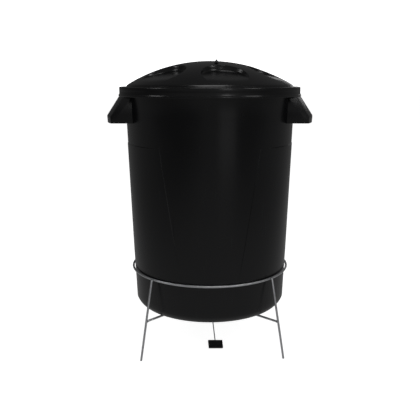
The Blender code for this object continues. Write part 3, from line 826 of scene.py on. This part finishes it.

# %% [markdown]
# ## The paddle
# The paddle is a block with a raised rim round a shallow face. It is a cube whose front is
# inset twice: once for the rim and once, pushed in, for the recessed face.

# %% The paddle
start_clean()
bpy.ops.mesh.primitive_cube_add(size=1.0, location=(0, 0, 0))
paddle = named("peck_block")
half = PADDLE_WIDE / 2
edit(paddle)
bpy.ops.mesh.select_all(action="SELECT")
place_selected(paddle, lambda corner: Vector((
    corner.x * PADDLE_WIDE,
    -0.0036 if corner.y < 0 else 0.0034,
    -ROD_REACH if corner.z < 0 else PADDLE_TOP)))
pick(paddle, lambda face, middle: face.normal.y < -0.9, "FACE")
bpy.ops.mesh.inset(thickness=0.0018, depth=0)
bpy.ops.mesh.inset(thickness=0.0005, depth=-0.0008)
leave_edit()
soften(paddle, 0.0006, 3, 40)
paddle_frame = (rod_frame @ Matrix.Translation((-EYE_HALF, -EYE, 0))
                @ Matrix.Rotation(math.radians(8.6), 4, "Z"))
paddle.data.transform(paddle_frame)
tidy_normals(paddle)
smooth_by(paddle, 35)

# %% [markdown]
# ## Finishes
# Two node groups hold the effects that several finishes share. The first is the skin of
# moulded plastic: a fine leathery grain, slow changes of gloss, and a few light rub marks. The second is
# hot-dip zinc: crystals of slightly different brightness, with a fine grain on top.

# %% Helpers for nodes
def new_group(name, inputs, outputs):
    group = bpy.data.node_groups.new(name, "ShaderNodeTree")
    for title, value in inputs:
        socket = group.interface.new_socket(title, in_out="INPUT", socket_type="NodeSocketFloat")
        socket.default_value = value
    for title in outputs:
        group.interface.new_socket(title, in_out="OUTPUT", socket_type="NodeSocketFloat")
    return group, group.nodes.new("NodeGroupInput"), group.nodes.new("NodeGroupOutput")


def noise_node(tree, scale, detail=2.0, rough=0.5, stretch=None):
    """A noise texture on Object coordinates, which may be stretched."""
    place = tree.nodes.new("ShaderNodeTexCoord")
    texture = tree.nodes.new("ShaderNodeTexNoise")
    texture.inputs["Scale"].default_value = scale
    texture.inputs["Detail"].default_value = detail
    texture.inputs["Roughness"].default_value = rough
    if stretch:
        mapping = tree.nodes.new("ShaderNodeMapping")
        mapping.inputs["Scale"].default_value = stretch
        tree.links.new(place.outputs["Object"], mapping.inputs["Vector"])
        tree.links.new(mapping.outputs["Vector"], texture.inputs["Vector"])
    else:
        tree.links.new(place.outputs["Object"], texture.inputs["Vector"])
    return texture


def ranged(tree, source, low, high, to_low, to_high):
    """A map-range node: low..high becomes to_low..to_high. The ends may be numbers or sockets."""
    node = tree.nodes.new("ShaderNodeMapRange")
    tree.links.new(source, node.inputs["Value"])
    for title, value in (("From Min", low), ("From Max", high), ("To Min", to_low), ("To Max", to_high)):
        if isinstance(value, (int, float)):
            node.inputs[title].default_value = value
        else:
            tree.links.new(value, node.inputs[title])
    return node.outputs["Result"]


def calc(tree, how, a, b):
    node = tree.nodes.new("ShaderNodeMath")
    node.operation = how
    for socket, value in zip(node.inputs, (a, b)):
        if isinstance(value, (int, float)):
            socket.default_value = value
        else:
            tree.links.new(value, socket)
    return node.outputs[0]


# %% The moulded skin group
skin, skin_in, skin_out = new_group(
    "moulded_skin", [("Gloss Change", 0.05), ("Rub Marks", 1.0)], ["Tone", "Roughness Change", "Height"])
slow = noise_node(skin, 9.0, 3.0)
grain = noise_node(skin, 1500.0, 2.0)
ripple = noise_node(skin, 34.0, 2.0, 0.4, (1.0, 1.0, 0.35))
rubs = noise_node(skin, 60.0, 5.0, 0.62, (1.0, 1.0, 0.16))
rub_mask = ranged(skin, rubs.outputs["Fac"], 0.62, 0.74, 0.0, skin_in.outputs["Rub Marks"])
tone = ranged(skin, slow.outputs["Fac"], 0.3, 0.7, 0.85, 1.15)
tone = calc(skin, "ADD", tone, calc(skin, "MULTIPLY", rub_mask, 0.55))
skin.links.new(tone, skin_out.inputs["Tone"])
change = calc(skin, "SUBTRACT", slow.outputs["Fac"], 0.5)
change = calc(skin, "MULTIPLY", change, skin_in.outputs["Gloss Change"])
change = calc(skin, "ADD", change, calc(skin, "MULTIPLY", rub_mask, 0.07))
skin.links.new(change, skin_out.inputs["Roughness Change"])
height = calc(skin, "MULTIPLY", grain.outputs["Fac"], 0.25)
height = calc(skin, "ADD", height, calc(skin, "MULTIPLY", ripple.outputs["Fac"], 2.0))
skin.links.new(height, skin_out.inputs["Height"])

# %% The zinc group
zinc, zinc_in, zinc_out = new_group(
    "zinc_coat", [("Crystal Size", 170.0)], ["Tone", "Roughness Change", "Height"])
place = zinc.nodes.new("ShaderNodeTexCoord")
crystals = zinc.nodes.new("ShaderNodeTexVoronoi")
zinc.links.new(place.outputs["Object"], crystals.inputs["Vector"])
zinc.links.new(zinc_in.outputs["Crystal Size"], crystals.inputs["Scale"])
shade = zinc.nodes.new("ShaderNodeSeparateColor")
zinc.links.new(crystals.outputs["Color"], shade.inputs["Color"])
cloudy = noise_node(zinc, 45.0, 4.0, 0.6)
fine = noise_node(zinc, 900.0, 2.0)
tone = ranged(zinc, shade.outputs["Red"], 0.0, 1.0, 0.90, 1.06)
tone = calc(zinc, "MULTIPLY", tone, ranged(zinc, cloudy.outputs["Fac"], 0.3, 0.75, 1.06, 0.86))
zinc.links.new(tone, zinc_out.inputs["Tone"])
change = calc(zinc, "MULTIPLY", calc(zinc, "SUBTRACT", shade.outputs["Green"], 0.5), 0.12)
zinc.links.new(change, zinc_out.inputs["Roughness Change"])
height = calc(zinc, "ADD", calc(zinc, "MULTIPLY", fine.outputs["Fac"], 0.3), cloudy.outputs["Fac"])
zinc.links.new(height, zinc_out.inputs["Height"])


# %% [markdown]
# Each finish is one Principled shader with a group behind it. What stays constant over the whole
# surface is set on the shader itself, and the bump's distance is in metres.

# %% One function for all finishes
def finish_material(name, group, colour, roughness, metallic=0.0, bump=0.00003, specular=0.5, coat=0.0, settings=()):
    material = bpy.data.materials.new(name)
    material.use_nodes = True
    tree = material.node_tree
    shader = tree.nodes["Principled BSDF"]
    effects = tree.nodes.new("ShaderNodeGroup")
    effects.node_tree = group
    for title, value in settings:
        effects.inputs[title].default_value = value
    mix = tree.nodes.new("ShaderNodeMix")
    mix.data_type = "RGBA"
    mix.blend_type = "MULTIPLY"
    mix.inputs["Factor"].default_value = 1.0
    mix.inputs["A"].default_value = (*colour, 1.0)
    tree.links.new(effects.outputs["Tone"], mix.inputs["B"])
    tree.links.new(mix.outputs["Result"], shader.inputs["Base Color"])
    tree.links.new(calc(tree, "ADD", effects.outputs["Roughness Change"], roughness), shader.inputs["Roughness"])
    relief = tree.nodes.new("ShaderNodeBump")
    relief.inputs["Distance"].default_value = bump
    tree.links.new(effects.outputs["Height"], relief.inputs["Height"])
    tree.links.new(relief.outputs["Normal"], shader.inputs["Normal"])
    shader.inputs["Metallic"].default_value = metallic
    shader.inputs["Specular IOR Level"].default_value = specular
    shader.inputs["Coat Weight"].default_value = coat
    shader.inputs["Coat Roughness"].default_value = 0.2
    return material


wall_plastic = finish_material("black_wall_plastic", skin, (0.0052, 0.0054, 0.0062), 0.25)
lid_plastic = finish_material("black_lid_plastic", skin, (0.0056, 0.0057, 0.0062), 0.22)
small_plastic = finish_material(
    "black_outlet_plastic", skin, (0.012, 0.012, 0.013), 0.42, settings=[("Rub Marks", 0.4)])
paddle_plastic = finish_material(
    "black_paddle_plastic", skin, (0.0140, 0.0140, 0.0148), 0.40, settings=[("Rub Marks", 0.5)])
rubber = finish_material(
    "soft_rubber", skin, (0.010, 0.010, 0.010), 0.68, bump=0.00005, settings=[("Rub Marks", 0.0)])
galvanised = finish_material(
    "galvanised_zinc", zinc, (0.80, 0.81, 0.83), 0.38, metallic=1.0, bump=0.00012)
weld_metal = finish_material(
    "weld_zinc", zinc, (0.42, 0.43, 0.44), 0.48, metallic=1.0, bump=0.0003, settings=[("Crystal Size", 420.0)])
pin_steel = finish_material(
    "pin_steel", zinc, (0.60, 0.60, 0.61), 0.26, metallic=1.0, bump=0.00002, settings=[("Crystal Size", 900.0)])


def paint(piece, material):
    piece.data.materials.clear()
    piece.data.materials.append(material)


# %% Put every piece on its body
for piece, nodes in ((bin_wall, ["bin_body"]), (blank_plate, []), (grips[0], []), (grips[1], [])):
    paint(piece, wall_plastic)
    finish_piece(piece, "bin", "black_plastic", *nodes)
paint(lid, lid_plastic)
finish_piece(lid, "lid", "black_plastic", "bin_lid")
paint(peg, lid_plastic)
finish_piece(peg, "lid", "black_plastic", "lid_peg")
for node, (name, width, body, slot) in outlet_copies.items():
    piece = outlet_pieces[node]
    paint(piece, {"outlet_plastic": small_plastic, "rubber": rubber, "steel_pin": pin_steel}[slot])
    finish_piece(piece, body, slot, node)
paint(hoop, galvanised)
finish_piece(hoop, "stand", "galvanised_wire", "stand_hoop")
for place, leg in legs.items():
    paint(leg, galvanised)
    finish_piece(leg, "stand", "galvanised_wire", "stand_leg_" + place)
for level, rod in rods.items():
    paint(rod, galvanised)
    finish_piece(rod, "stand", "galvanised_wire", "stand_cross_rod_" + level)
for bead in beads:
    paint(bead, weld_metal)
    finish_piece(bead, "stand", "galvanised_wire")
paint(peck_rod, galvanised)
finish_piece(peck_rod, "pecker", "galvanised_wire", "peck_rod")
paint(paddle, paddle_plastic)
finish_piece(paddle, "pecker", "black_plastic", "peck_paddle")

# The frame's own nodes take the same finishes, so that a bare frame is never a flat colour.
node_finish = {
    "bin_body": wall_plastic, "bin_lid": lid_plastic, "lid_peg": lid_plastic,
    "outlet_bush": small_plastic, "outlet_nut": small_plastic, "outlet_washer": rubber,
    "swivel_disc": small_plastic, "pivot_pin": pin_steel, "pin_clip_left": pin_steel,
    "pin_clip_right": pin_steel, "peck_rod": galvanised, "peck_paddle": paddle_plastic}
for name, node in frame["nodes"].items():
    if node.data.materials:
        node.data.materials[0] = node_finish.get(name, galvanised)

# %% [markdown]
# ## Floor, light and camera
# The floor is plain and pale. Black plastic shows little but what it mirrors, so what the object
# sees is dimmer than what the camera sees: the Light Path node tells the two kinds of ray
# apart. Two large soft lights give the lid and the wall their long soft highlights.

# %% Floor
FLOOR_CENTRE, FLOOR_LEFT, FLOOR_RIGHT, FLOOR_NEAR = 0.13, 0.025, 0.035, 0.10
start_clean()
bpy.ops.mesh.primitive_plane_add(size=60.0, location=(0, 0, 0))
floor = named("studio_floor")
floor_look = bpy.data.materials.new("studio_floor")
floor_look.use_nodes = True
tree = floor_look.node_tree
tree.nodes.remove(tree.nodes["Principled BSDF"])
sweep = noise_node(tree, 3.0, 3.0)
pale = tree.nodes.new("ShaderNodeCombineColor")
for channel in ("Red", "Green", "Blue"):
    tree.links.new(ranged(tree, sweep.outputs["Fac"], 0.3, 0.7, 0.885, 0.90), pale.inputs[channel])
matt = tree.nodes.new("ShaderNodeBsdfDiffuse")
tree.links.new(pale.outputs["Color"], matt.inputs["Color"])
bright = tree.nodes.new("ShaderNodeEmission")
bright.inputs["Color"].default_value = (1, 1, 1, 1)
bright.inputs["Strength"].default_value = 0.94
lit = tree.nodes.new("ShaderNodeAddShader")
tree.links.new(matt.outputs[0], lit.inputs[0])
tree.links.new(bright.outputs[0], lit.inputs[1])
dim = tree.nodes.new("ShaderNodeEmission")
floor_place = tree.nodes.new("ShaderNodeTexCoord")
floor_split = tree.nodes.new("ShaderNodeSeparateXYZ")
tree.links.new(floor_place.outputs["Object"], floor_split.inputs[0])
glow = calc(tree, "ADD",
            calc(tree, "MINIMUM",
                 ranged(tree, floor_split.outputs["X"], -1.8, -0.4, FLOOR_LEFT, FLOOR_CENTRE),
                 ranged(tree, floor_split.outputs["X"], 0.5, 2.0, FLOOR_CENTRE, FLOOR_RIGHT)),
            ranged(tree, floor_split.outputs["Y"], -3.2, -0.7, 0.0, FLOOR_NEAR))
tree.links.new(glow, dim.inputs["Strength"])
path = tree.nodes.new("ShaderNodeLightPath")
choice = tree.nodes.new("ShaderNodeMixShader")
tree.links.new(path.outputs["Is Camera Ray"], choice.inputs["Fac"])
tree.links.new(dim.outputs[0], choice.inputs[1])
tree.links.new(lit.outputs[0], choice.inputs[2])
tree.links.new(choice.outputs[0], tree.nodes["Material Output"].inputs["Surface"])
paint(floor, floor_look)

# %% World
world = bpy.data.worlds.new("studio")
world.use_nodes = True
scene.world = world
tree = world.node_tree
sky = tree.nodes["Background"]
sky.inputs["Strength"].default_value = 1.0
aim = tree.nodes.new("ShaderNodeTexCoord")
split = tree.nodes.new("ShaderNodeSeparateXYZ")
tree.links.new(aim.outputs["Generated"], split.inputs[0])
SIDE_LEFT, SIDE_RIGHT, SKY_HIGH, FRONT_GLOW = 0.060, 0.100, 0.0, 0.14
side = ranged(tree, split.outputs["X"], -0.6, 0.8, SIDE_LEFT, SIDE_RIGHT)
up = ranged(tree, split.outputs["Z"], 0.05, 0.9, 0.0, SKY_HIGH)
ahead = ranged(tree, split.outputs["Y"], -1.0, -0.2, FRONT_GLOW, 0.0)
seen = calc(tree, "ADD", calc(tree, "ADD", side, up), ahead)
path = tree.nodes.new("ShaderNodeLightPath")
blank = ranged(tree, path.outputs["Is Camera Ray"], 0.0, 1.0, seen, 1.6)
tree.links.new(blank, sky.inputs["Color"])

# %% Lights
def soft_light(name, turn, height, distance, width, tall, power, aim_z=0.5):
    """A soft box: turn is degrees from the front towards +X, height is degrees above level."""
    lift = math.radians(height)
    place = around(distance * math.cos(lift), turn, aim_z + distance * math.sin(lift))
    start_clean()
    bpy.ops.object.light_add(type="AREA", location=place)
    light = bpy.context.object
    light.name = name
    light.data.name = name
    light.data.shape = "RECTANGLE"
    light.data.size = width
    light.data.size_y = tall
    light.data.energy = power
    toward = Vector((0, 0, aim_z)) - place
    light.rotation_euler = toward.to_track_quat("-Z", "Y").to_euler()
    return light


soft_light("overhead_box", 8, 84, 3.2, 1.3, 1.4, 14)
soft_light("front_box", 20, 20, 3.2, 0.45, 0.55, 3.2)
soft_light("low_front_box", 23, -6, 3.0, 1.1, 0.36, 0.50)
soft_light("back_box", 160, 13, 3.6, 1.3, 0.5, 1.1)
soft_light("high_right_box", 60, 40, 3.4, 0.8, 1.0, 9)
soft_light("high_left_box", -75, 36, 3.4, 0.7, 1.0, 8)

# %% Camera
start_clean()
bpy.ops.object.camera_add(location=(0.0005, -1.785, 0.7597), rotation=(math.radians(77.985), 0, 0))
camera = bpy.context.object
camera.name = "camera"
camera.data.lens = 53.25
camera.data.sensor_width = 36
scene.camera = camera
scene.view_settings.view_transform = "Standard"
scene.view_settings.look = "None"
